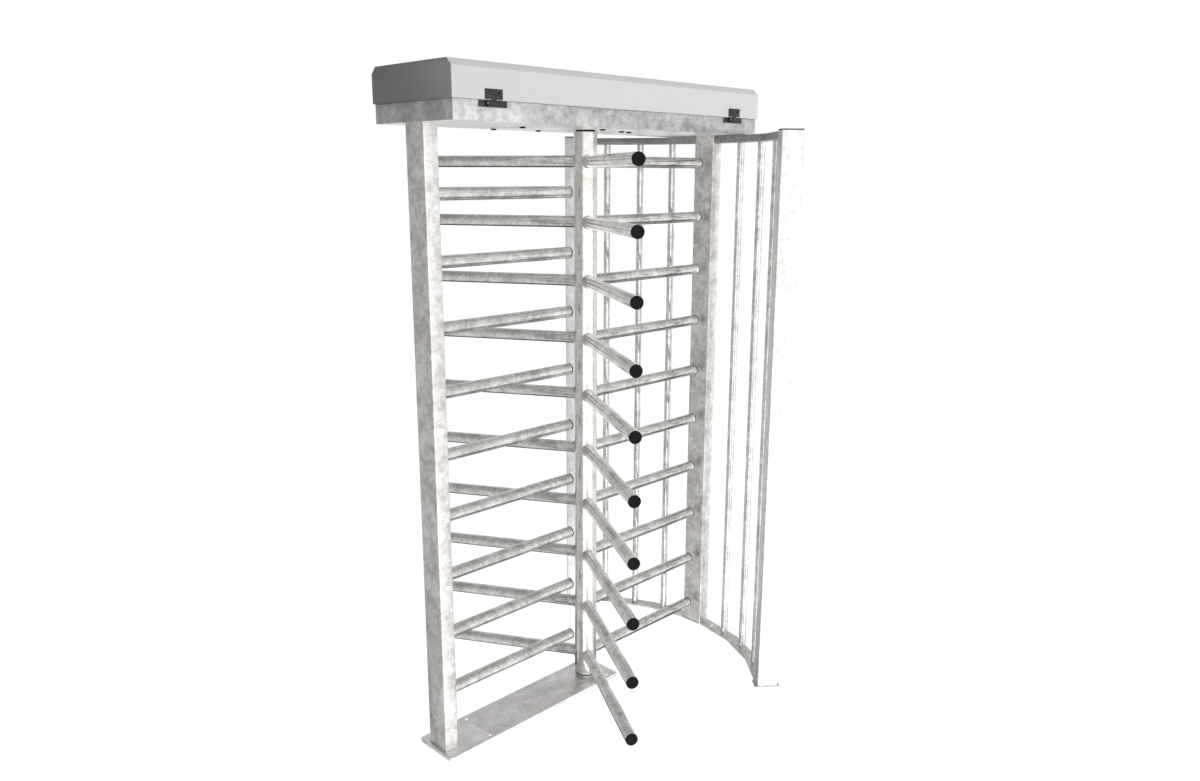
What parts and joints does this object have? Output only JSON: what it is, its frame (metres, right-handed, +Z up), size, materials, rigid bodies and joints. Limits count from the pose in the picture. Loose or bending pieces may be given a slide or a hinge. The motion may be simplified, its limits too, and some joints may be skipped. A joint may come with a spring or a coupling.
{
  "type": "full-height turnstile",
  "caption": "Full-height galvanised turnstile: three-wing rotor, comb post, curved cage and a hinged head box with indexing, locking and visitor-counting gear.",
  "frame": {"origin": "the rotor's axis at floor level, on the underside of the base plate", "axes": "+Z up along the rotor's axis, +X from the rotor towards the cage and its middle post, +Y to the back, where the lid's locks are"},
  "size_m": [1.3865, 1.1464, 2.1645],
  "materials": {
    "galvanised_steel": "hot-dip galvanised, mottled",
    "black_plastic": "moulded, satin",
    "black_rubber": "matt",
    "hinge_black": "black powder coat",
    "lid_paint": "light grey powder coat",
    "machined_steel": "turned and ground",
    "zinc_plate": "bright zinc plated",
    "zinc_fasteners": "zinc plated",
    "gear_brass": "machined",
    "solenoid_shell": "black lacquer",
    "counter_plastic": "moulded",
    "box_plastic": "light grey moulded",
    "supply_metal": "pressed sheet"
  },
  "bodies": {
    "frame": {"base_plate": "galvanised_steel", "comb_post": "galvanised_steel", "comb_bars": "galvanised_steel", "comb_caps": "black_plastic", "middle_post": "galvanised_steel", "cage_plate": "galvanised_steel", "cage_rails": "galvanised_steel", "cage_bars": "galvanised_steel", "end_posts": "galvanised_steel", "end_post_caps": "black_plastic", "post_top_plates": "machined_steel", "head_trough": "galvanised_steel", "head_bolts": "zinc_fasteners", "cable_grommets": "black_rubber", "hinge_plates": "hinge_black", "hinge_pins": "zinc_fasteners", "lid_rests": "zinc_plate", "lid_buffers": "black_rubber", "foot_pivot": "machined_steel", "column_seals": "black_rubber", "bearing_housing": "machined_steel", "head_bearing": "machined_steel", "housing_bolts": "zinc_fasteners", "mechanism_plate": "zinc_plate", "mechanism_spacers": "zinc_fasteners", "pivot_studs": "zinc_fasteners", "bridge_pillars": "zinc_fasteners", "bridge_plate": "zinc_plate", "solenoids": "solenoid_shell", "follower_spring": "machined_steel", "follower_arm": "machined_steel", "visitor_counter": "counter_plastic", "damper_body": "machined_steel", "control_box": "box_plastic", "control_box_cover": "box_plastic", "power_supply": "supply_metal"},
    "rotor": {"rotor_column": "galvanised_steel", "wing_cage_arms": "galvanised_steel", "wing_back_arms": "galvanised_steel", "wing_front_arms": "galvanised_steel", "arm_caps": "black_plastic", "foot_hub": "machined_steel", "foot_bearing": "machined_steel", "drive_shaft": "machined_steel", "index_cam": "machined_steel", "lock_disc": "machined_steel", "main_gear": "machined_steel", "shaft_nut": "zinc_fasteners"},
    "counter_pinion": {"counter_pinion": "gear_brass"},
    "damper_pinion": {"damper_pinion": "gear_brass"},
    "follower_roller": {"follower_roller": "machined_steel"},
    "pawl_entry": {"pawl_entry": "machined_steel"},
    "pawl_exit": {"pawl_exit": "machined_steel"},
    "plunger_entry": {"plunger_entry": "machined_steel"},
    "plunger_exit": {"plunger_exit": "machined_steel"},
    "head_lid": {"head_lid": "lid_paint", "hinge_leaves": "hinge_black", "hinge_leaf_screws": "zinc_fasteners"},
    "lock_left": {"lock_left": "zinc_fasteners"},
    "lock_right": {"lock_right": "zinc_fasteners"}
  },
  "joints": [
    {"name": "rotor_turn", "type": "hinge", "parent": "frame", "child": "rotor", "pos_m": [0, 0, 1], "axis": [0, 0, 1], "continuous": true},
    {"name": "counter_pinion_turn", "type": "hinge", "parent": "frame", "child": "counter_pinion", "pos_m": [0.08, 0, 2.08], "axis": [0, 0, 1], "continuous": true},
    {"name": "damper_pinion_turn", "type": "hinge", "parent": "frame", "child": "damper_pinion", "pos_m": [-0.08, 0, 2.08], "axis": [0, 0, 1], "continuous": true},
    {"name": "roller_turn", "type": "hinge", "parent": "frame", "child": "follower_roller", "pos_m": [-0.0973, 0, 2.05], "axis": [0, 0, 1], "continuous": true},
    {"name": "pawl_entry_swing", "type": "hinge", "parent": "frame", "child": "pawl_entry", "pos_m": [0.072, -0.096, 2.062], "axis": [0, 0, -1], "range_deg": [0, 10], "stiffness_Nm_per_rad": 1.5},
    {"name": "pawl_exit_swing", "type": "hinge", "parent": "frame", "child": "pawl_exit", "pos_m": [0.072, 0.096, 2.062], "axis": [0, 0, 1], "range_deg": [0, 10], "stiffness_Nm_per_rad": 1.5},
    {"name": "plunger_entry_pull", "type": "slide", "parent": "frame", "child": "plunger_entry", "axis": [0, -1, 0], "range_m": [0, 0.0062]},
    {"name": "plunger_exit_pull", "type": "slide", "parent": "frame", "child": "plunger_exit", "axis": [0, 1, 0], "range_m": [0, 0.0062]},
    {"name": "lid_open", "type": "hinge", "parent": "frame", "child": "head_lid", "pos_m": [0.0025, -0.203, 2.051], "axis": [1, 0, 0], "range_deg": [0, 95]},
    {"name": "lock_left_turn", "type": "hinge", "parent": "head_lid", "child": "lock_left", "pos_m": [-0.3975, 0.18, 2.1], "axis": [0, 1, 0], "range_deg": [0, 90]},
    {"name": "lock_right_turn", "type": "hinge", "parent": "head_lid", "child": "lock_right", "pos_m": [0.4025, 0.18, 2.1], "axis": [0, 1, 0], "range_deg": [0, 90]}
  ],
  "couplings": [
    {"joint": "counter_pinion_turn", "follows": "rotor_turn", "ratio": -3},
    {"joint": "damper_pinion_turn", "follows": "rotor_turn", "ratio": -3},
    {"joint": "plunger_entry_pull", "follows": "pawl_entry_swing", "m_per_rad": 0.035},
    {"joint": "plunger_exit_pull", "follows": "pawl_exit_swing", "m_per_rad": 0.035}
  ]
}
